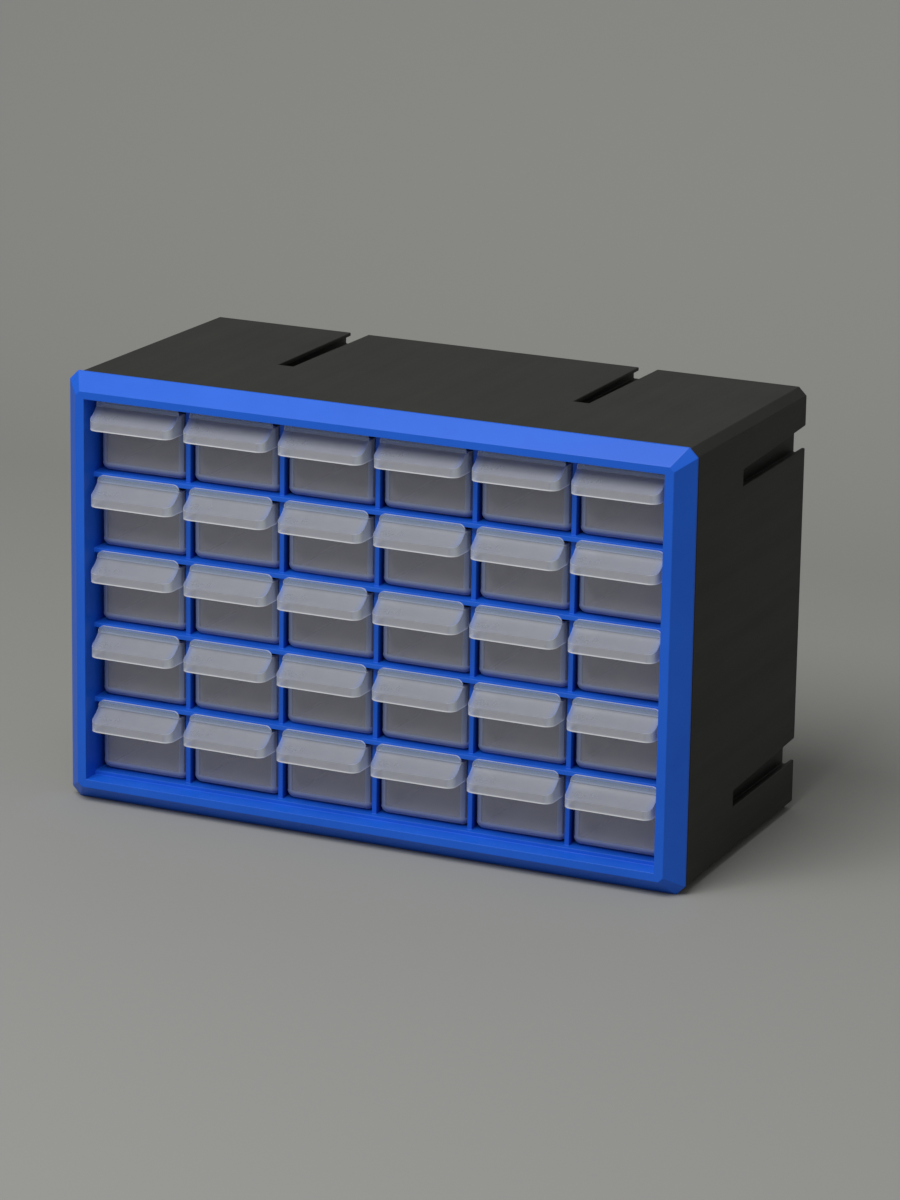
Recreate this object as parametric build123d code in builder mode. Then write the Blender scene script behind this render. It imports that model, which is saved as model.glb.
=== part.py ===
from build123d import *

import os

# A cabinet for small parts: a black moulded housing, a blue front frame with a grid of
# six columns and five rows, and thirty clear drawers that slide out to the front.
# Sizes are in millimetres. X is the width, +Y points to the back, +Z is up. Depths along
# Y are counted from the rim, the widest line of the front frame, unless a note says more.

# Front frame: rim, bevel, front face and the opening in it
frame_width = 365.0
frame_height = 240.8
frame_corner = 5.0  # chamfer on the rim's four corners
rim_edge = 1.2  # flat edge of the rim, along Y
bevel_depth = 10.1  # from the rim's edge to the front face, along Y
bevel_inset = 8.8  # the same bevel, across the frame
face_corner = 2.4  # chamfer on the front face's outer corners
face_side = 5.1  # flat of the front face, left and right
face_low = 4.6  # flat of the front face, below the opening
face_high = 4.2  # flat of the front face, above the opening
frame_wall = 2.2
groove_width = 3.0  # shadow groove between the rim and the housing, along Y
groove_depth = 1.2
frame_tail = 12.0  # how far the frame reaches behind the rim
spigot_wall = 2.0
spigot_gap = 0.2  # play of the spigot in the housing's mouth

# Grid of the front frame
column_count = 6
row_count = 5
end_cell_extra = 0.75  # the cells at both ends are wider by this
lowest_rail_rise = 2.2  # lowest rail above the ledge of the opening
highest_rail_sink = 0.2  # top of the hidden highest rail below the opening's upper edge
rail_thickness = 2.6
rail_front = -0.5
divider_thickness = 2.7
divider_front = 3.0

# Housing
housing_depth = 160.0  # rim to back
housing_step = 1.0  # how much smaller than the rim the housing is, top and sides
housing_wall = 2.2
housing_corner = 4.5
side_draft = 1.4  # how much each side leans in over the depth
top_draft = 1.5

# T-slots in the housing's skin, open at the back
slot_length = 92.0
slot_floor = 6.4  # depth of the slot's floor, measured at the back
slot_skin = 2.0  # skin that the slot undercuts
slot_undercut = 2.8
slot_wall = 2.0  # wall of the pocket inside the housing
column_slot_shift = 2.9  # from the middle of the last column but one, outwards
column_slot_front = 9.0  # width at the front end
column_slot_back = 10.8  # width at the back
side_slot_front = 9.1
side_slot_back = 12.5
upper_slot_drop = 36.1  # level lower edge of the upper side slots, below the top
lower_slot_rise = 28.0  # level lower edge of the lower side slots, above the base

# Keyholes in the back wall
keyhole_spacing = 240.0
keyhole_drop = 36.0  # middle of the head below the top
keyhole_head = 9.0
keyhole_shank = 4.6
keyhole_rise = 9.0

# Shelves and uprights that carry the drawers inside the housing
plate_thickness = 1.6
plate_gap = 0.2  # play between the plates and the front frame, and at the back
lap_play = 0.1  # play on each side of a half lap
shelf_overhang = 0.8  # how far a shelf passes its end upright
upright_headroom = 0.4

# Drawers; their heights are counted from the rail that they stand on
drawer_side_play = 0.55
drawer_front = 4.0  # front wall
drawer_back_room = 7.6  # free depth behind the back wall
drawer_headroom = 5.3  # rim and hood top below the top of the next rail
drawer_play = 0.3  # play under the drawer
drawer_wall = 1.2
drawer_floor = 1.3
drawer_base_radius = 4.5  # round the bottom
drawer_corner_radius = 5.0  # the four upright edges

# Hood: the pull along the drawer's front, open underneath
hood_set_in = 1.4  # narrower than the drawer by this on each side
hood_reach = 12.3  # its front, ahead of the rim
hood_wall = 1.2
hood_facet_drop = 6.1  # height of the sloping facet
hood_skirt = 5.0  # height of the upright skirt
hood_corner_radius = 5.0
hood_crease_radius = 1.8  # between the facet and the skirt
hood_bulge = 1.0  # crown of the sloping facet

# Lip: stands on the hood and stops the drawer against the next rail
lip_set_in = 0.1  # narrower than the hood by this on each side
lip_thickness = 1.1
lip_gap = 0.2  # from the rail's front
lip_below_rail = 1.0  # top of the lip below the top of the next rail
lip_corner_radius = 3.4

# Stop tab on the drawer's back wall, which catches the next rail
tab_width = 22.0
tab_catch = 0.6

# Places and sizes worked out from the values above
past = 5.0  # how far a cutting form runs past what it cuts
rim_y = (hood_reach - housing_depth) / 2  # the whole object is centred on Y = 0
face_y = rim_y - rim_edge - bevel_depth
tail_y = rim_y + frame_tail
mouth_y = rim_y + groove_width
back_y = rim_y + housing_depth
opening_half = frame_width / 2 - bevel_inset - face_side
opening_low = bevel_inset + face_low
opening_high = frame_height - bevel_inset - face_high
column_pitch = (2 * (opening_half - end_cell_extra) + divider_thickness) / column_count
first_rail_top = opening_low + lowest_rail_rise
row_pitch = (opening_high - highest_rail_sink - first_rail_top) / row_count
highest_rail_low = opening_high - highest_rail_sink - rail_thickness
grid_lap_y = (rim_y + divider_front + tail_y) / 2
mouth_half = frame_width / 2 - housing_step
mouth_high = frame_height - housing_step
back_half = mouth_half - side_draft
back_high = mouth_high - top_draft
inner_back_y = back_y - housing_wall
slot_y = back_y - slot_length
plates_front = tail_y + plate_gap
plates_back = inner_back_y - plate_gap
plates_lap_y = (plates_front + plates_back) / 2


def rail_top(row):
    """Top of the rail and shelf under a row, with the lowest row as 0."""
    return first_rail_top + row * row_pitch


def divider_x(place):
    """Middle of a divider and of the upright behind it, 0 being the left end."""
    return (place - column_count / 2) * column_pitch


def chamfered(y, half_width, low, high, corner):
    """Draws a rectangle with cut corners, square to Y and centred on X = 0."""
    with BuildSketch(Plane.XZ.offset(-y)) as drawing:
        with Locations((0, (low + high) / 2)):
            Rectangle(2 * half_width, high - low)
        chamfer(drawing.vertices(), corner)
    return drawing.sketch


def framed(y, inset, corner):
    """Draws the rim's outline, set in by the same amount on all four sides."""
    return chamfered(y, frame_width / 2 - inset, inset, frame_height - inset, corner)


def rectangle(y, left, right, low, high):
    """Draws a rectangle square to Y, given by its edges as seen from the front."""
    with BuildSketch(Plane.XZ.offset(-y)) as drawing:
        with Locations(((left + right) / 2, (low + high) / 2)):
            Rectangle(right - left, high - low)
    return drawing.sketch


def tapered(front, back, mode=Mode.ADD):
    """Adds or cuts the flat-faced form between two outlines drawn at different depths."""
    corners = [vertex.center() for vertex in (*front.vertices(), *back.vertices())]
    ConvexPolyhedron(corners, mode=mode)


def block(front, back, left, right, low, high, mode=Mode.ADD):
    """Adds or cuts a plain block between two depths."""
    extrude(rectangle(back, left, right, low, high), amount=back - front, mode=mode)


def finish(name, piece):
    """Names a piece and writes it to its own file."""
    piece.label = name
    export_step(piece, f"parts/{name}.step")


def make_front_frame():
    """The bevelled ring, hollow from behind, with its spigot and the outer rails."""
    spigot_inset = housing_step + housing_wall + spigot_gap
    hollow_inset = spigot_inset + spigot_wall
    slope = bevel_depth / bevel_inset
    wall_along_y = frame_wall * (1 + slope**2) ** 0.5
    bend_y = rim_y - rim_edge - hollow_inset * slope + wall_along_y
    end_y = face_y + frame_wall
    end_inset = hollow_inset + (bend_y - end_y) / slope
    ring_half = opening_half + frame_wall
    with BuildPart() as front_frame:
        extrude(framed(mouth_y, groove_depth, frame_corner), amount=groove_width)
        extrude(framed(rim_y, 0, frame_corner), amount=rim_edge)
        bevel_back = framed(rim_y - rim_edge, 0, frame_corner)
        tapered(framed(face_y, bevel_inset, face_corner), bevel_back)
        # the spigot goes into the housing's mouth
        spigot_half = frame_width / 2 - spigot_inset
        spigot_low = housing_wall + spigot_gap
        spigot_high = frame_height - spigot_inset
        spigot = chamfered(tail_y, spigot_half, spigot_low, spigot_high, housing_corner)
        extrude(spigot, amount=tail_y - mouth_y)
        # the hollow runs straight in behind the rim and then narrows along the bevel
        hollow = framed(tail_y, hollow_inset, housing_corner)
        extrude(hollow, amount=tail_y - bend_y, mode=Mode.SUBTRACT)
        bend = framed(bend_y, hollow_inset, housing_corner)
        tapered(framed(end_y, end_inset, face_corner), bend, Mode.SUBTRACT)
        # the wall round the opening
        ring_low = opening_low - frame_wall
        ring_high = opening_high + frame_wall
        block(end_y, tail_y, -ring_half, ring_half, ring_low, ring_high)
        opening = (-opening_half, opening_half, opening_low, opening_high)
        block(face_y - past, tail_y + past, *opening, Mode.SUBTRACT)
        rail_y = rim_y + rail_front
        block(rail_y, tail_y, -opening_half, opening_half, opening_low, rail_top(0))
        block(rail_y, tail_y, -opening_half, opening_half, highest_rail_low, opening_high)
    finish("front_frame", front_frame.part)


def make_grid_rail(row):
    """A rail across the opening, half lapped with the dividers from behind."""
    high = rail_top(row)
    low = high - rail_thickness
    with BuildPart() as rail:
        block(rim_y + rail_front, tail_y, -opening_half, opening_half, low, high)
        for place in range(1, column_count):
            left = divider_x(place) - divider_thickness / 2
            right = left + divider_thickness
            block(grid_lap_y, tail_y + past, left, right, low - past, high + past, Mode.SUBTRACT)
    finish(f"grid_rail_{row}", rail.part)


def make_grid_divider(place):
    """An upright divider between two columns, half lapped with the rails from the front."""
    left = divider_x(place) - divider_thickness / 2
    right = left + divider_thickness
    front = rim_y + divider_front
    with BuildPart() as divider:
        block(front, tail_y, left, right, rail_top(0), highest_rail_low)
        for row in range(1, row_count):
            high = rail_top(row)
            low = high - rail_thickness
            block(front - past, grid_lap_y, left - past, right + past, low, high, Mode.SUBTRACT)
    finish(f"grid_divider_{place}", divider.part)


def t_slot(edges_front, edges_back, floor, skin, outside, on_side):
    """Cuts a T-slot. The edges lie along the skin; floor, skin and outside across it."""

    def placed(along, across):
        low_high = (min(across), max(across))
        return (*low_high, *along) if on_side else (*along, *low_high)

    wide = (edges_back[0] - slot_undercut, edges_back[1] + slot_undercut)
    block(slot_y, back_y + past, *placed(wide, (floor, skin)), Mode.SUBTRACT)
    front_end = rectangle(slot_y, *placed(edges_front, (floor, outside)))
    back_end = rectangle(back_y, *placed(edges_back, (floor, outside)))
    tapered(front_end, back_end, Mode.SUBTRACT)


def slot_pocket(edges_back, floor, inwards, on_side):
    """Adds the pocket that closes a T-slot off from the inside of the housing."""
    along = (
        edges_back[0] - slot_undercut - slot_wall,
        edges_back[1] + slot_undercut + slot_wall,
    )
    depth = floor + inwards * slot_wall
    outer = floor - inwards * (slot_floor - housing_wall / 2)
    across = (min(depth, outer), max(depth, outer))
    sides = (*across, *along) if on_side else (*along, *across)
    block(slot_y - slot_wall, back_y, *sides)


def slot_places():
    """Edges at both ends, floor, skin, outside, inward direction and side, slot by slot."""
    places = []
    middle = (column_count / 2 - 1.5) * column_pitch + column_slot_shift
    for x in (-middle, middle):
        front = (x - column_slot_front / 2, x + column_slot_front / 2)
        back = (x - column_slot_back / 2, x + column_slot_back / 2)
        floor = back_high - slot_floor
        places.append((front, back, floor, back_high - slot_skin, mouth_high + past, -1, False))
        places.append((front, back, slot_floor, slot_skin, -past, 1, False))
    for low in (lower_slot_rise, frame_height - upper_slot_drop):
        front = (low, low + side_slot_front)
        back = (low, low + side_slot_back)
        for side in (-1, 1):
            floor = side * (back_half - slot_floor)
            skin = side * (back_half - slot_skin)
            places.append((front, back, floor, skin, side * (mouth_half + past), -side, True))
    return places


def make_housing():
    """The black shell: four walls and a back, T-slots all round and two keyholes."""
    wall = housing_wall
    with BuildPart() as housing:
        mouth = chamfered(mouth_y, mouth_half, 0, mouth_high, housing_corner)
        tapered(mouth, chamfered(back_y, back_half, 0, back_high, housing_corner))
        mouth_sizes = (mouth_half - wall, wall, mouth_high - wall, housing_corner)
        back_sizes = (back_half - wall, wall, back_high - wall, housing_corner)
        hollow_back = chamfered(inner_back_y, *back_sizes)
        tapered(chamfered(mouth_y, *mouth_sizes), hollow_back, Mode.SUBTRACT)
        for front, back, floor, skin, outside, inwards, on_side in slot_places():
            slot_pocket(back, floor, inwards, on_side)
        for front, back, floor, skin, outside, inwards, on_side in slot_places():
            t_slot(front, back, floor, skin, outside, on_side)
        head_z = frame_height - keyhole_drop
        with BuildSketch(Plane.XZ.offset(-back_y)):
            for x in (-keyhole_spacing / 2, keyhole_spacing / 2):
                with Locations((x, head_z)):
                    Circle(keyhole_head / 2)
                with Locations((x, head_z + keyhole_rise / 2)):
                    Rectangle(keyhole_shank, keyhole_rise)
                with Locations((x, head_z + keyhole_rise)):
                    Circle(keyhole_shank / 2)
        extrude(amount=housing_wall, mode=Mode.SUBTRACT)
    finish("housing", housing.part)


def make_shelf(row):
    """A shelf behind a rail, slotted from the back for the uprights."""
    high = rail_top(row)
    low = high - plate_thickness
    half = divider_x(column_count) + plate_thickness / 2 + shelf_overhang
    notch = plate_thickness / 2 + lap_play
    with BuildPart() as shelf:
        block(plates_front, plates_back, -half, half, low, high)
        for place in range(column_count + 1):
            x = divider_x(place)
            sides = (x - notch, x + notch, low - past, high + past)
            block(plates_lap_y, plates_back + past, *sides, Mode.SUBTRACT)
    finish(f"shelf_{row + 1}", shelf.part)


def make_upright(place):
    """An upright behind a divider, slotted from the front for the shelves."""
    left = divider_x(place) - plate_thickness / 2
    right = left + plate_thickness
    high = back_high - housing_wall - upright_headroom
    with BuildPart() as upright:
        block(plates_front, plates_back, left, right, housing_wall, high)
        for row in range(row_count):
            notch_high = rail_top(row) + lap_play
            notch_low = rail_top(row) - plate_thickness - lap_play
            sides = (left - past, right + past, notch_low, notch_high)
            block(plates_front - past, plates_lap_y, *sides, Mode.SUBTRACT)
    finish(f"upright_{place + 1}", upright.part)


def hood_form(half_width, inset, low, back):
    """The hood's outer form, or its hollow when it is set in by the wall."""
    front = rim_y - hood_reach
    top = row_pitch - drawer_headroom
    crease = top - hood_facet_drop
    lip_front = rim_y + rail_front - lip_gap - lip_thickness
    with BuildPart() as form:
        with BuildSketch(Plane.XY.offset(low)) as plan:
            with Locations((0, (front + inset + back) / 2)):
                Rectangle(2 * (half_width - inset), back - front - inset)
            fillet(plan.vertices().group_by(Axis.Y)[0], hood_corner_radius - inset)
        extrude(amount=top - low)
        with BuildSketch(Plane.YZ) as side:
            with BuildLine():
                Polyline((lip_front, top), (back + inset, top), (back + inset, low - inset))
                Polyline((back + inset, low - inset), (front, low - inset), (front, crease))
                SagittaArc((front, crease), (lip_front, top), -hood_bulge)
            make_face()
            corners = side.vertices().sort_by_distance((0, front, crease))
            fillet(corners[0], hood_crease_radius)
            if inset:
                offset(amount=-inset, kind=Kind.INTERSECTION, mode=Mode.REPLACE)
        extrude(amount=half_width, both=True, mode=Mode.INTERSECT)
    return form.part


def tray_form(inset, floor):
    """The drawer's outer form, or its hollow when it is set in by the wall."""
    front = rim_y + drawer_front + inset
    back = plates_back - drawer_back_room - inset
    width = column_pitch - divider_thickness - 2 * drawer_side_play - 2 * inset
    with BuildPart() as form:
        with BuildSketch(Plane.XY.offset(floor)) as plan:
            with Locations((0, (front + back) / 2)):
                Rectangle(width, back - front)
            fillet(plan.vertices(), drawer_corner_radius - inset)
        extrude(amount=row_pitch - drawer_headroom + (past if inset else 0) - floor)
        fillet(form.edges().group_by(Axis.Z)[0], drawer_base_radius - inset)
    return form.part


def make_drawer():
    """One drawer, standing on a rail whose top is at Z = 0, in the middle of its column."""
    rim = row_pitch - drawer_headroom
    hood_low = rim - hood_facet_drop - hood_skirt
    half = (column_pitch - divider_thickness) / 2 - drawer_side_play
    hood_half = half - hood_set_in
    lip_half = hood_half - lip_set_in
    wall_front = rim_y + drawer_front
    wall_back = plates_back - drawer_back_room
    lip_back = rim_y + rail_front - lip_gap
    with BuildPart() as drawer:
        add(tray_form(0, drawer_play))
        add(hood_form(hood_half, 0, hood_low, wall_front + drawer_wall))
        add(hood_form(hood_half, hood_wall, hood_low - past, wall_front), mode=Mode.SUBTRACT)
        add(tray_form(drawer_wall, drawer_play + drawer_floor), mode=Mode.SUBTRACT)
        lip_low = rim - hood_wall / 2
        lip_high = row_pitch - lip_below_rail
        with BuildSketch(Plane.XZ.offset(-lip_back)) as lip:
            with Locations((0, (lip_low + lip_high) / 2)):
                Rectangle(2 * lip_half, lip_high - lip_low)
            fillet(lip.vertices().group_by(Axis.Y)[-1], lip_corner_radius)
        extrude(amount=lip_thickness)
        tab_high = row_pitch - rail_thickness + tab_catch
        tab = (-tab_width / 2, tab_width / 2, rim - drawer_wall, tab_high)
        block(wall_back - drawer_wall, wall_back, *tab)
    return drawer.part


os.makedirs("parts", exist_ok=True)
make_housing()
make_front_frame()
for inner_row in range(1, row_count):
    make_grid_rail(inner_row)
for inner_place in range(1, column_count):
    make_grid_divider(inner_place)
for shelf_row in range(row_count):
    make_shelf(shelf_row)
for upright_place in range(column_count + 1):
    make_upright(upright_place)

one_drawer = make_drawer()
for drawer_row in range(row_count):
    for drawer_column in range(column_count):
        cell_x = divider_x(drawer_column) + column_pitch / 2
        with BuildPart() as drawer_in_cell:
            with Locations((cell_x, 0, rail_top(drawer_row))):
                add(one_drawer)
        # rows are named from the top and columns from the left, as they are read
        finish(f"drawer_r{row_count - drawer_row}_c{drawer_column + 1}", drawer_in_cell.part)

travel = plates_back - drawer_back_room - drawer_wall - tail_y
print("cell pitch across and up:", round(column_pitch, 3), round(row_pitch, 3))
print("travel until the stop tab meets the rail:", round(travel, 3))
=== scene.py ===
import math
import random

import bmesh
import bpy
from mathutils import Matrix, Vector


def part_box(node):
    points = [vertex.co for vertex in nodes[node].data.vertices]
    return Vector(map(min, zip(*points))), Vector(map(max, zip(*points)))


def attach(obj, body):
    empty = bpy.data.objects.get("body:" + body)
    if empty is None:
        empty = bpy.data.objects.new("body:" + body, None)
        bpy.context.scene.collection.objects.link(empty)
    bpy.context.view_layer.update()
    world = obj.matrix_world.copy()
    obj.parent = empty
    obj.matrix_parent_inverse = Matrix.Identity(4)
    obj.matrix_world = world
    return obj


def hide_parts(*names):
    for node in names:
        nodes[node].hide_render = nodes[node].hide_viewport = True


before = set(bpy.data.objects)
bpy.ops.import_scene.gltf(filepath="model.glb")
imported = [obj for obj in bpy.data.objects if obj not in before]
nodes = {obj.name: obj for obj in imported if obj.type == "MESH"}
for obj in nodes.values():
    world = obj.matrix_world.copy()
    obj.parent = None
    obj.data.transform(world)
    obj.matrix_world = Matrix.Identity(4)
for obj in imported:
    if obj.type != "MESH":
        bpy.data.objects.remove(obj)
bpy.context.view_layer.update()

scene = bpy.context.scene
mm = 0.001

rows, columns = 5, 6
railNodes = [f"grid_rail_{k}" for k in range(1, rows)]
dividerNodes = [f"grid_divider_{k}" for k in range(1, columns)]
plateNodes = [f"shelf_{k}" for k in range(1, rows + 1)] + [f"upright_{k}" for k in range(1, columns + 2)]


# shader effects that several plastics share

def newGroup(name, inputs, outputs):
    group = bpy.data.node_groups.new(name, "ShaderNodeTree")
    for label, value in inputs.items():
        socket = group.interface.new_socket(label, in_out="INPUT", socket_type="NodeSocketFloat")
        socket.default_value = value
    for label in outputs:
        group.interface.new_socket(label, in_out="OUTPUT", socket_type="NodeSocketFloat")
    return group, group.nodes.new("NodeGroupInput"), group.nodes.new("NodeGroupOutput")


def noise(tree, vector, scale, detail, roughness=0.5):
    node = tree.nodes.new("ShaderNodeTexNoise")
    node.inputs["Detail"].default_value = detail
    node.inputs["Roughness"].default_value = roughness
    tree.links.new(vector, node.inputs["Vector"])
    if isinstance(scale, (int, float)):
        node.inputs["Scale"].default_value = scale
    else:
        tree.links.new(scale, node.inputs["Scale"])
    return node.outputs["Fac"]


def ranged(tree, value, low, high, toLow=0.0, toHigh=1.0):
    node = tree.nodes.new("ShaderNodeMapRange")
    node.inputs["From Min"].default_value = low
    node.inputs["From Max"].default_value = high
    node.inputs["To Min"].default_value = toLow
    node.inputs["To Max"].default_value = toHigh
    tree.links.new(value, node.inputs["Value"])
    return node.outputs["Result"]


def maths(tree, operation, first, second):
    node = tree.nodes.new("ShaderNodeMath")
    node.operation = operation
    for socket, value in zip(node.inputs, (first, second)):
        if isinstance(value, (int, float)):
            socket.default_value = value
        else:
            tree.links.new(value, socket)
    return node.outputs["Value"]


def stretched(tree, factors):
    place = tree.nodes.new("ShaderNodeTexCoord")
    mapping = tree.nodes.new("ShaderNodeMapping")
    mapping.inputs["Scale"].default_value = factors
    tree.links.new(place.outputs["Object"], mapping.inputs["Vector"])
    return mapping.outputs["Vector"]


def along(tree, vector, axis):
    parts = tree.nodes.new("ShaderNodeSeparateXYZ")
    tree.links.new(vector, parts.inputs["Vector"])
    return parts.outputs[axis]


def makeGrain():
    # fine spark-eroded texture of a mould, with slow clouds in its shine
    inputs = {"Grain Scale": 2200.0, "Cloud Scale": 14.0}
    tree, given, out = newGroup("mouldGrain", inputs, ("Height", "Clouds"))
    vector = stretched(tree, (1, 1, 1))
    fine = noise(tree, vector, given.outputs["Grain Scale"], 3.0, 0.6)
    tree.links.new(fine, out.inputs["Height"])
    clouds = noise(tree, vector, given.outputs["Cloud Scale"], 4.0, 0.55)
    tree.links.new(ranged(tree, clouds, 0.3, 0.7), out.inputs["Clouds"])
    return tree


def makeStreaks():
    # long soft marks along Y, the way that the moulding leaves its tool
    tree, given, out = newGroup("drawMarks", {"Width": 60.0}, ("Marks",))
    vector = stretched(tree, (1, 0.045, 1))
    broad = noise(tree, vector, given.outputs["Width"], 5.0, 0.65)
    tree.links.new(ranged(tree, broad, 0.36, 0.68), out.inputs["Marks"])
    return tree


def makeDustAndSheen():
    # thin dust, and with it a painted lighter sheen, only where the surface looks up
    tree, given, out = newGroup("dustAndTopSheen", {"Amount": 1.0, "Patch Scale": 35.0}, ("Mask",))
    geometry = tree.nodes.new("ShaderNodeNewGeometry")
    upward = ranged(tree, along(tree, geometry.outputs["Normal"], "Z"), 0.55, 0.95)
    cloudy = noise(tree, stretched(tree, (1, 1, 1)), given.outputs["Patch Scale"], 6.0, 0.7)
    patches = ranged(tree, cloudy, 0.35, 0.7, 0.45, 1.0)
    mask = maths(tree, "MULTIPLY", upward, patches)
    tree.links.new(maths(tree, "MULTIPLY", mask, given.outputs["Amount"]), out.inputs["Mask"])
    return tree


def makeFrameReflection():
    # painted reflection of the blue frame near a drawer's sides and base, where the clear wall takes on the
    # frame's colour
    inputs = {"Half Width": 0.026, "Reach": 0.006, "Amount": 1.0}
    tree, given, out = newGroup("paintedFrameReflection", inputs, ("Mask",))
    place = tree.nodes.new("ShaderNodeTexCoord").outputs["Object"]
    fromMiddle = maths(tree, "ABSOLUTE", along(tree, place, "X"), 0)
    aside = maths(tree, "SUBTRACT", given.outputs["Half Width"], fromMiddle)
    nearest = maths(tree, "MINIMUM", aside, along(tree, place, "Z"))
    share = maths(tree, "DIVIDE", nearest, given.outputs["Reach"])
    clipped = maths(tree, "MINIMUM", maths(tree, "MAXIMUM", share, 0.0), 1.0)
    falling = maths(tree, "SUBTRACT", 1.0, clipped)
    soft = maths(tree, "MULTIPLY", falling, falling)
    tree.links.new(maths(tree, "MULTIPLY", soft, given.outputs["Amount"]), out.inputs["Mask"])
    return tree


grainGroup, streakGroup, dustSheenGroup, frameReflectionGroup = makeGrain(), makeStreaks(), makeDustAndSheen(), makeFrameReflection()
print("shader groups built")


# materials

def useGroup(tree, group, **values):
    node = tree.nodes.new("ShaderNodeGroup")
    node.node_tree = group
    for label, value in values.items():
        node.inputs[label.replace("_", " ")].default_value = value
    return node.outputs


def blend(tree, factor, first, second):
    node = tree.nodes.new("ShaderNodeMix")
    node.data_type = "RGBA"
    for socket, value in ((node.inputs["A"], first), (node.inputs["B"], second)):
        if isinstance(value, tuple):
            socket.default_value = (*value, 1)
        else:
            tree.links.new(value, socket)
    tree.links.new(factor, node.inputs["Factor"])
    return node.outputs["Result"]


def newPlastic(name, specular):
    material = bpy.data.materials.new(name)
    material.use_nodes = True
    shader = material.node_tree.nodes["Principled BSDF"]
    shader.inputs["Specular IOR Level"].default_value = specular
    return material, material.node_tree, shader


def addBump(tree, shader, height, s):
    bump = tree.nodes.new("ShaderNodeBump")
    bump.inputs["Strength"].default_value = s["grain"]
    bump.inputs["Distance"].default_value = s["grainDepth"]
    tree.links.new(height, bump.inputs["Height"])
    tree.links.new(bump.outputs["Normal"], shader.inputs["Normal"])


blackSettings = {
    "colour": (0.0150, 0.0150, 0.0140),
    "cloudColour": (0.0195, 0.0195, 0.0178),
    # dust on upward faces, which also paints a lighter sheen on the housing's top
    "dustSheenColour": (0.055, 0.054, 0.044),
    "dustSheen": 0.14,
    "specular": 0.38,
    "roughness": (0.54, 0.60),
    "streaks": 0.3,
    "streakWidth": 70.0,
    "dustSheenPatchScale": 28.0,
    "grainScale": 2600.0,
    "cloudScale": 16.0,
    "grain": 0.25,
    "grainDepth": 0.02 * mm,
}


def makeBlack(s):
    material, tree, shader = newPlastic("blackMattePlastic", s["specular"])
    grain = useGroup(tree, grainGroup, Grain_Scale=s["grainScale"], Cloud_Scale=s["cloudScale"])
    marks = useGroup(tree, streakGroup, Width=s["streakWidth"])["Marks"]
    dustSheen = useGroup(tree, dustSheenGroup, Amount=s["dustSheen"], Patch_Scale=s["dustSheenPatchScale"])["Mask"]
    clouded = blend(tree, grain["Clouds"], s["colour"], s["cloudColour"])
    streaked = blend(tree, maths(tree, "MULTIPLY", marks, s["streaks"]), clouded, s["cloudColour"])
    # dust and a painted sheen lighten the faces that look up
    tree.links.new(blend(tree, dustSheen, streaked, s["dustSheenColour"]), shader.inputs["Base Color"])
    tree.links.new(ranged(tree, marks, 0, 1, *reversed(s["roughness"])), shader.inputs["Roughness"])
    addBump(tree, shader, grain["Height"], s)
    return material


blueSettings = {
    "colour": (0.009, 0.120, 0.70),
    "cloudColour": (0.011, 0.132, 0.75),
    "specular": 0.36,
    "roughness": (0.38, 0.46),
    "grainScale": 1600.0,
    "cloudScale": 30.0,
    "grain": 0.12,
    "grainDepth": 0.015 * mm,
}


def makeBlue(s):
    material, tree, shader = newPlastic("blueSatinPlastic", s["specular"])
    grain = useGroup(tree, grainGroup, Grain_Scale=s["grainScale"], Cloud_Scale=s["cloudScale"])
    colour = blend(tree, grain["Clouds"], s["colour"], s["cloudColour"])
    tree.links.new(colour, shader.inputs["Base Color"])
    tree.links.new(ranged(tree, grain["Clouds"], 0, 1, *s["roughness"]), shader.inputs["Roughness"])
    addBump(tree, shader, grain["Height"], s)
    return material


milkySettings = {
    "front": {"colour": (0.47, 0.47, 0.52), "cloudColour": (0.51, 0.51, 0.56), "alpha": 0.36},
    # the side walls' darker, bluer colour is painted shade
    "wall": {"colour": (0.34, 0.36, 0.50), "cloudColour": (0.38, 0.40, 0.54), "alpha": 0.28},
    # the base's light bluish colour is painted blue light from the rail under it
    "base": {"colour": (0.45, 0.50, 0.62), "cloudColour": (0.50, 0.55, 0.66), "alpha": 0.5},
    "hood": {"colour": (0.45, 0.47, 0.52), "cloudColour": (0.50, 0.52, 0.57), "alpha": 0.42},
    # hood and skirt are one plastic; the skirt's paler colour is painted light
    "skirt": {"colour": (0.56, 0.57, 0.63), "cloudColour": (0.61, 0.62, 0.67), "alpha": 0.42},
    # the lip's blue is painted light from the blue rail behind it
    "lip": {"colour": (0.62, 0.72, 0.92), "cloudColour": (0.66, 0.76, 0.95), "alpha": 0.3},
    # the floor's pale warm colour is painted light inside the drawer
    "floor": {"colour": (0.84, 0.82, 0.74), "cloudColour": (0.92, 0.90, 0.82), "alpha": 0.85},
    # pale edges are painted highlights along the thin walls' free edges
    "edge": {"colour": (0.84, 0.86, 0.90), "cloudColour": (0.90, 0.92, 0.95), "alpha": 0.7},
    "specular": 0.5,
    "roughness": (0.27, 0.4),
    "grainScale": 2800.0,
    "cloudScale": 70.0,
    "grain": 0.05,
    "grainDepth": 0.01 * mm,
    "frameReflection": (0.28, 0.42, 0.92),  # painted reflection of the blue frame in the drawer's outline
    "frameReflectionAmount": 1.0,
    "halfWidth": 26.3 * mm,
    "frameReflectionReach": 7.0 * mm,
}
# places that take the painted reflection of the blue frame
frameReflectingPlaces = ("front", "wall", "base", "hood", "skirt")

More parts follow.
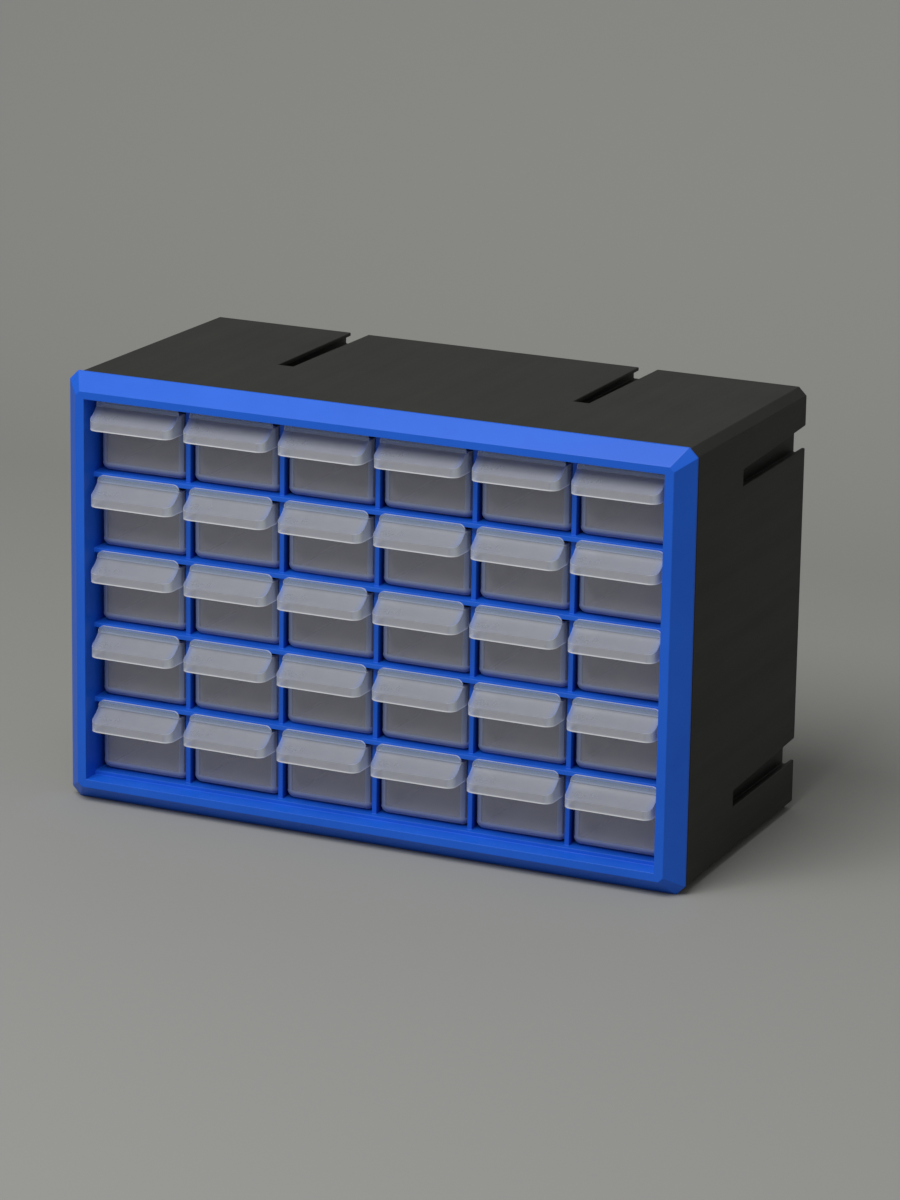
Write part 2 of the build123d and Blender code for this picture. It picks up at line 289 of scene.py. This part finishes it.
# painted light and shade that a place takes on gradually: painted light on the hood's rounded ends by the
# way they face, the painted blue of the rail on the lip where it stands before it, and painted shade in the
# dark corner between floor and walls
paintedLightSettings = {
    "hood": {"along": "Normal", "axis": "X", "from": 0.2, "to": 0.85, "colour": (0.92, 0.97, 1.0)},
    "skirt": {"along": "Normal", "axis": "X", "from": 0.2, "to": 0.85, "colour": (0.92, 0.97, 1.0)},
    "lip": {
        "along": "Object", "axis": "Z", "from": 36.8 * mm, "to": 41.1 * mm, "colour": (0.50, 0.66, 0.92),
    },
    "floor": {"along": "Object", "axis": "X", "from": 10 * mm, "to": 24 * mm, "colour": (0.40, 0.41, 0.54)},
    "wall": {"along": "Object", "axis": "Z", "from": 20 * mm, "to": 5 * mm, "colour": (0.20, 0.22, 0.40)},
}


def withPaintedLight(tree, colour, s):
    vector = tree.nodes.new("ShaderNodeTexCoord").outputs[s["along"]]
    size = maths(tree, "ABSOLUTE", along(tree, vector, s["axis"]), 0)
    return blend(tree, ranged(tree, size, s["from"], s["to"]), colour, s["colour"])


def makeMilky(place, s):
    own = s[place]
    material, tree, shader = newPlastic(f"milky{place.capitalize()}", s["specular"])
    shader.inputs["Alpha"].default_value = own["alpha"]
    grain = useGroup(tree, grainGroup, Grain_Scale=s["grainScale"], Cloud_Scale=s["cloudScale"])
    colour = blend(tree, grain["Clouds"], own["colour"], own["cloudColour"])
    # painted reflection of the blue frame near the drawer's sides and base
    if place in frameReflectingPlaces:
        extent = {"Half_Width": s["halfWidth"], "Reach": s["frameReflectionReach"], "Amount": s["frameReflectionAmount"]}
        rim = useGroup(tree, frameReflectionGroup, **extent)
        colour = blend(tree, rim["Mask"], colour, s["frameReflection"])
    # painted light and shade that the place takes on gradually
    if place in paintedLightSettings:
        colour = withPaintedLight(tree, colour, paintedLightSettings[place])
    tree.links.new(colour, shader.inputs["Base Color"])
    tree.links.new(ranged(tree, grain["Clouds"], 0, 1, *s["roughness"]), shader.inputs["Roughness"])
    addBump(tree, shader, grain["Height"], s)
    return material


black = makeBlack(blackSettings)
blue = makeBlue(blueSettings)
milkyPlaces = ("wall", "front", "base", "hood", "skirt", "lip", "floor", "edge")
milkySlot = {place: k for k, place in enumerate(milkyPlaces)}
milky = [makeMilky(place, milkySettings) for place in milkyPlaces]
print("materials made")


# meshes taken from the frame and given their small radii

meshSettings = {
    "weld": 0.001 * mm,
    "unitedWeld": 0.005 * mm,
    "flat": 0.4,  # degrees between faces that count as one
    "segments": 2,
    "normalWeight": 80,
}


def welded(name):
    form = bmesh.new()
    form.from_mesh(nodes[name].data)
    bmesh.ops.remove_doubles(form, verts=form.verts, dist=meshSettings["weld"])
    return form


def flatten(form):
    flat = math.radians(meshSettings["flat"])
    bmesh.ops.dissolve_limit(form, angle_limit=flat, verts=form.verts, edges=form.edges)


def sharpEdges(form, degrees):
    limit = math.radians(degrees)
    return [e for e in form.edges if e.is_manifold and e.calc_face_angle(0) > limit]


def roundEdges(form, edges, radius, material=-1):
    bmesh.ops.bevel(
        form, geom=edges, offset=radius, offset_type="OFFSET", segments=meshSettings["segments"],
        profile=0.5, affect="EDGES", clamp_overlap=True, material=material,
    )


def meshObject(name, form, materials):
    mesh = bpy.data.meshes.new(name)
    form.to_mesh(mesh)
    form.free()
    for material in materials:
        mesh.materials.append(material)
    mesh.shade_smooth()
    piece = bpy.data.objects.new(name, mesh)
    scene.collection.objects.link(piece)
    return piece


def weightNormals(piece):
    modifier = piece.modifiers.new("evenNormals", "WEIGHTED_NORMAL")
    modifier.keep_sharp = False
    modifier.weight = meshSettings["normalWeight"]


mouldingSettings = {
    "gridRadius": 0.55 * mm,
    "sharp": 20,
    "roundedDepth": 2 * mm,  # edges further behind the dividers' fronts stay sharp
}


def joinedMoulding():
    # the ring, rails and dividers are one moulding, so they are united before their radii
    parts = []
    for name in ["front_frame", *railNodes, *dividerNodes]:
        form = welded(name)
        flatten(form)
        parts.append(meshObject(f"{name}_raw", form, []))
    base = parts[0]
    for other in parts[1:]:
        modifier = base.modifiers.new(other.name, "BOOLEAN")
        modifier.operation = "UNION"
        modifier.solver = "EXACT"
        modifier.object = other
    evaluated = base.evaluated_get(bpy.context.evaluated_depsgraph_get())
    form = bmesh.new()
    form.from_mesh(evaluated.to_mesh())
    evaluated.to_mesh_clear()
    for part in parts:
        bpy.data.meshes.remove(part.data)
    bmesh.ops.remove_doubles(form, verts=form.verts, dist=meshSettings["unitedWeld"])
    flatten(form)
    return form


def makeMoulding(s):
    form = joinedMoulding()
    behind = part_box("grid_divider_1")[0].y + s["roundedDepth"]
    edges = sharpEdges(form, s["sharp"])
    front = [e for e in edges if min(v.co.y for v in e.verts) < behind]
    roundEdges(form, front, s["gridRadius"])
    openEdges = sum(not e.is_manifold for e in form.edges)
    print("moulding:", len(form.faces), "faces,", openEdges, "open edges")
    piece = meshObject("blue_moulding", form, [blue])
    weightNormals(piece)
    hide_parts("front_frame", *railNodes, *dividerNodes)
    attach(piece, "cabinet")


makeMoulding(mouldingSettings)
print("blue moulding done")

housingSettings = {"radius": 0.6 * mm, "sharp": 30}


def makeHousing(s):
    form = welded("housing")
    flatten(form)
    roundEdges(form, sharpEdges(form, s["sharp"]), s["radius"])
    piece = meshObject("black_housing_shell", form, [black])
    weightNormals(piece)
    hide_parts("housing")
    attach(piece, "cabinet")


makeHousing(housingSettings)
for name in plateNodes:
    nodes[name].data.materials.clear()
    nodes[name].data.materials.append(black)
print("housing and plates done")

drawerSettings = {
    "edgeRadius": 0.22 * mm,
    "sharp": 40,
    "wall": 1.2 * mm,
    "hoodReach": 16.3 * mm,  # front of the hood to the front wall's outer face
    "lipThickness": 1.1 * mm,
    "lipFront": 10.5 * mm,  # behind the front of the hood
    "hoodHeight": 15.4 * mm,  # top of the lip to the lower edge of the skirt
    "skirtHeight": 5.0 * mm,
    "hoodTop": 4.3 * mm,  # rim and hood top below the top of the lip
    "floorTop": 3.5 * mm,
    "baseRadius": 4.5 * mm,
    "brightEdge": 0.55 * mm,  # height of the painted highlight along the skirt
    "endRadius": 0.7 * mm,  # between the sloping facet and the hood's ends
    "endAngle": 25,
    "near": 0.05 * mm,  # slack when a face is told apart by its place
    "tilt": 0.25,  # degrees
    "shift": 0.18 * mm,
    "seed": 7,
}


def cutLevel(form, height, front):
    # a line of edges round the hood at one height, for the painted highlight along the skirt
    faces = [f for f in form.faces if f.calc_center_median().y < front]
    around = {g for f in faces for g in (*f.verts, *f.edges, f)}
    bmesh.ops.bisect_plane(
        form, geom=list(around), plane_co=(0, 0, height), plane_no=(0, 0, 1), dist=meshSettings["weld"],
    )


def sortFaces(form, s, low, top):
    # each region of the clear drawer lets through its own share of light, and takes its own colour, in
    # which light and shade are painted
    near = s["near"]
    wallFront = low.y + s["hoodReach"]
    lipFront = low.y + s["lipFront"]
    hoodTop = top - s["hoodTop"]
    skirtLow = top - s["hoodHeight"]
    for face in form.faces:
        centre, normal = face.calc_center_median(), face.normal
        region = "wall"
        inLip = lipFront - near < centre.y < lipFront + s["lipThickness"] + near
        # the lip's top and ends take the pale edge colour, a painted highlight
        if centre.z > hoodTop + near and inLip:
            region = "lip" if abs(normal.y) > 0.3 else "edge"
        elif centre.y < wallFront - near:
            region = "hood" if centre.z > skirtLow + s["skirtHeight"] else "skirt"
            # a painted highlight along the skirt's lower edge
            if centre.z < skirtLow + s["brightEdge"]:
                region = "edge"
        elif centre.y < wallFront + s["wall"] + near and centre.z > s["baseRadius"] - near:
            region = "base" if abs(normal.x) > 0.2 else "front"
        elif centre.z < s["baseRadius"] and centre.y < wallFront + s["baseRadius"]:
            region = "base"
        elif centre.z < s["floorTop"] and abs(normal.z) > 0.96:
            region = "floor"
        # the flat tops of rim and hood take the pale edge colour, a painted highlight
        if abs(centre.z - hoodTop) < 2 * near and normal.z > 0.9:
            region = "edge"
        face.material_index = milkySlot[region]


def facetEnds(form, s):
    # the edges where the sloping facet turns down to the hood's rounded ends
    limit = math.radians(s["endAngle"])
    facet = [f for f in form.faces if f.material_index == milkySlot["hood"] and f.normal.z > 0.3]
    around = {e for f in facet for e in f.edges if e.is_manifold and e.calc_face_angle(0) > limit}

    def turnsDown(face):
        return abs(face.normal.z) < 0.2 and abs(face.normal.x) > 0.05

    return [e for e in around if any(turnsDown(f) for f in e.link_faces)]


def drawerMesh(s):
    # the one shape that all drawers share, brought to X = 0 and Z = 0, with Y as in the frame
    low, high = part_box("drawer_r3_c3")
    middle = Vector(((low.x + high.x) / 2, 0, low.z))
    top = high.z - low.z
    form = welded("drawer_r3_c3")
    flatten(form)
    bmesh.ops.translate(form, verts=form.verts, vec=-middle)
    wallFront = low.y + s["hoodReach"] - s["near"]
    cutLevel(form, top - s["hoodHeight"] + s["brightEdge"], wallFront)
    sortFaces(form, s, low, top)
    ends = facetEnds(form, s)
    # these rounded edges take the pale edge colour, a painted highlight along the facet's ends
    roundEdges(form, ends, s["endRadius"], milkySlot["edge"])
    print("facet end edges:", len(ends))
    roundEdges(form, sharpEdges(form, s["sharp"]), s["edgeRadius"])
    piece = meshObject("drawerShape", form, milky)
    weightNormals(piece)
    return piece


def makeDrawers(s):
    random.seed(s["seed"])
    shape = drawerMesh(s)
    for row in range(1, rows + 1):
        for column in range(1, columns + 1):
            node = f"drawer_r{row}_c{column}"
            low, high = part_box(node)
            piece = shape.copy()
            piece.name = f"clear_{node}"
            scene.collection.objects.link(piece)
            tilt = math.radians(random.uniform(-s["tilt"], s["tilt"]))
            place = Vector(((low.x + high.x) / 2, 0, low.z))
            place.x += random.uniform(-s["shift"], s["shift"])
            place.z += abs(math.sin(tilt)) * (high.x - low.x) / 2
            piece.matrix_world = Matrix.Translation(place) @ Matrix.Rotation(tilt, 4, "Y")
            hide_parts(node)
            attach(piece, node)
    print("drawer faces:", len(shape.data.polygons))
    bpy.data.objects.remove(shape)


makeDrawers(drawerSettings)
print("drawers done")


# floor, backdrop and light

stageSettings = {
    "colour": (0.32, 0.32, 0.305),
    "specular": 0.3,
    "roughness": 0.75,
    "front": -6.0,
    "bend": 0.55,  # where the floor begins to turn up, on a radius
    "radius": 0.5,
    "steps": 12,
    "top": 4.0,
    "half": 8.0,
}


def makeStage(s):
    profile = [(s["front"], 0)]
    for k in range(s["steps"] + 1):
        angle = math.radians(90 * k / s["steps"])
        rise = s["radius"] * (1 - math.cos(angle))
        profile.append((s["bend"] + s["radius"] * math.sin(angle), rise))
    profile.append((s["bend"] + s["radius"], s["top"]))
    points = [(x, y, z) for y, z in profile for x in (-s["half"], s["half"])]
    faces = [(2 * k, 2 * k + 1, 2 * k + 3, 2 * k + 2) for k in range(len(profile) - 1)]
    mesh = bpy.data.meshes.new("backdrop")
    mesh.from_pydata(points, [], faces)
    mesh.shade_smooth()
    backdrop = bpy.data.objects.new("backdrop", mesh)
    scene.collection.objects.link(backdrop)
    material, tree, shader = newPlastic("paleBackdrop", s["specular"])
    shader.inputs["Base Color"].default_value = (*s["colour"], 1)
    shader.inputs["Roughness"].default_value = s["roughness"]
    # a camera behind the backdrop looks through it
    behind = tree.nodes.new("ShaderNodeNewGeometry").outputs["Backfacing"]
    seen = tree.nodes.new("ShaderNodeLightPath").outputs["Is Camera Ray"]
    through = maths(tree, "MULTIPLY", behind, seen)
    tree.links.new(maths(tree, "SUBTRACT", 1.0, through), shader.inputs["Alpha"])
    mesh.materials.append(material)


lightSettings = {
    "sky": 0.27,
    "key": {"place": (-0.30, -1.28, 2.15), "target": (0, 0, 0.1), "size": 1.5, "power": 47},
}


def makeLamp(name, s):
    data = bpy.data.lights.new(name, "AREA")
    data.shape = "SQUARE"
    data.size = s["size"]
    data.energy = s["power"]
    lamp = bpy.data.objects.new(name, data)
    lamp.location = s["place"]
    aim = Vector(s["target"]) - Vector(s["place"])
    lamp.rotation_euler = aim.to_track_quat("-Z", "Y").to_euler()
    scene.collection.objects.link(lamp)


def makeLight(s):
    world = bpy.data.worlds.new("studio")
    world.use_nodes = True
    background = world.node_tree.nodes["Background"]
    background.inputs["Color"].default_value = (1, 1, 1, 1)
    background.inputs["Strength"].default_value = s["sky"]
    scene.world = world
    makeLamp("keyLamp", s["key"])


makeStage(stageSettings)
makeLight(lightSettings)
scene.view_settings.view_transform = "Standard"
print("stage and light done")


# camera, at the photograph's viewing angle

cameraSettings = {
    "azimuth": 24.736,
    "elevation": 16.12,
    "roll": 0.889,
    "place": (1.0675, -2.29465, 0.8485),
    "focalPixels": 4843.4,
    "imageHeight": 1200,
    "sensor": 36.0,
}


def makeCamera(s):
    azimuth, elevation, roll = (math.radians(s[k]) for k in ("azimuth", "elevation", "roll"))
    level = math.cos(elevation)
    back = Vector((math.sin(azimuth) * level, -math.cos(azimuth) * level, math.sin(elevation)))
    right = Vector((math.cos(azimuth), math.sin(azimuth), 0))
    up = back.cross(right)
    tiltedRight = math.cos(roll) * right + math.sin(roll) * up
    tiltedUp = math.cos(roll) * up - math.sin(roll) * right
    data = bpy.data.cameras.new("camera")
    data.sensor_fit = "VERTICAL"
    data.sensor_height = s["sensor"]
    data.lens = s["focalPixels"] * s["sensor"] / s["imageHeight"]
    data.clip_end = 100
    camera = bpy.data.objects.new("camera", data)
    turned = Matrix((tiltedRight, tiltedUp, back)).transposed().to_4x4()
    camera.matrix_world = Matrix.Translation(s["place"]) @ turned
    scene.collection.objects.link(camera)
    scene.camera = camera


makeCamera(cameraSettings)
print("camera placed")
